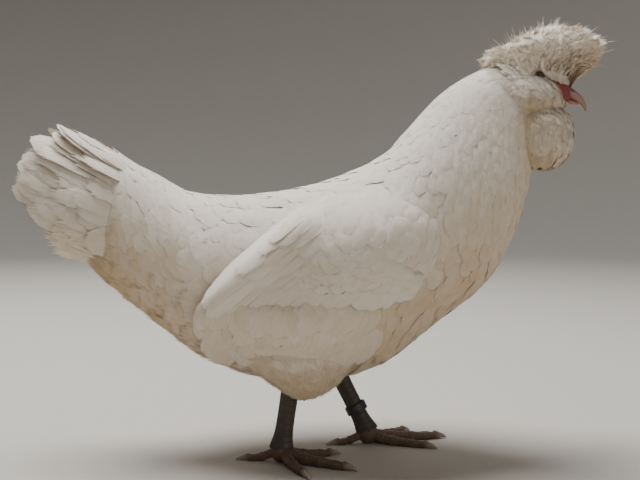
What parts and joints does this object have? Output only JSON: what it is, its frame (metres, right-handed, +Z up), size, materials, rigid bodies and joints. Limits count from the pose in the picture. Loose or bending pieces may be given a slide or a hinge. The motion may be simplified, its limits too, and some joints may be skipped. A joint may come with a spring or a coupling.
{
  "type": "polverara chicken",
  "caption": "Life-size white crested and bearded hen, standing on both feet with her wings folded; a still display model.",
  "frame": {"origin": "on the floor, under the middle of the bird's box", "axes": "+X towards the bill, +Y to the bird's left, +Z up"},
  "size_m": [0.4814, 0.1854, 0.3555],
  "materials": {
    "plumage": "soft white feathers",
    "bill": "horn, satin",
    "comb": "moist red skin",
    "eye": "wet gloss",
    "leg_skin": "scaled skin",
    "claw": "worn horn",
    "leg_band": "dull black"
  },
  "bodies": {
    "root": {"torso": "plumage", "neck": "plumage", "head": "plumage", "beard": "plumage", "tail": "plumage", "crest": "plumage", "muff_left": "plumage", "muff_right": "plumage", "wing_left": "plumage", "wing_right": "plumage", "thigh_left": "plumage", "thigh_right": "plumage", "bill_upper": "bill", "bill_lower": "bill", "comb": "comb", "eye_left": "eye", "eye_right": "eye", "shank_left": "leg_skin", "shank_right": "leg_skin", "foot_left": "leg_skin", "foot_right": "leg_skin", "claw_middle_left": "claw", "claw_inner_left": "claw", "claw_outer_left": "claw", "claw_hind_left": "claw", "claw_middle_right": "claw", "claw_inner_right": "claw", "claw_outer_right": "claw", "claw_hind_right": "claw", "leg_ring": "leg_band"}
  },
  "joints": []
}
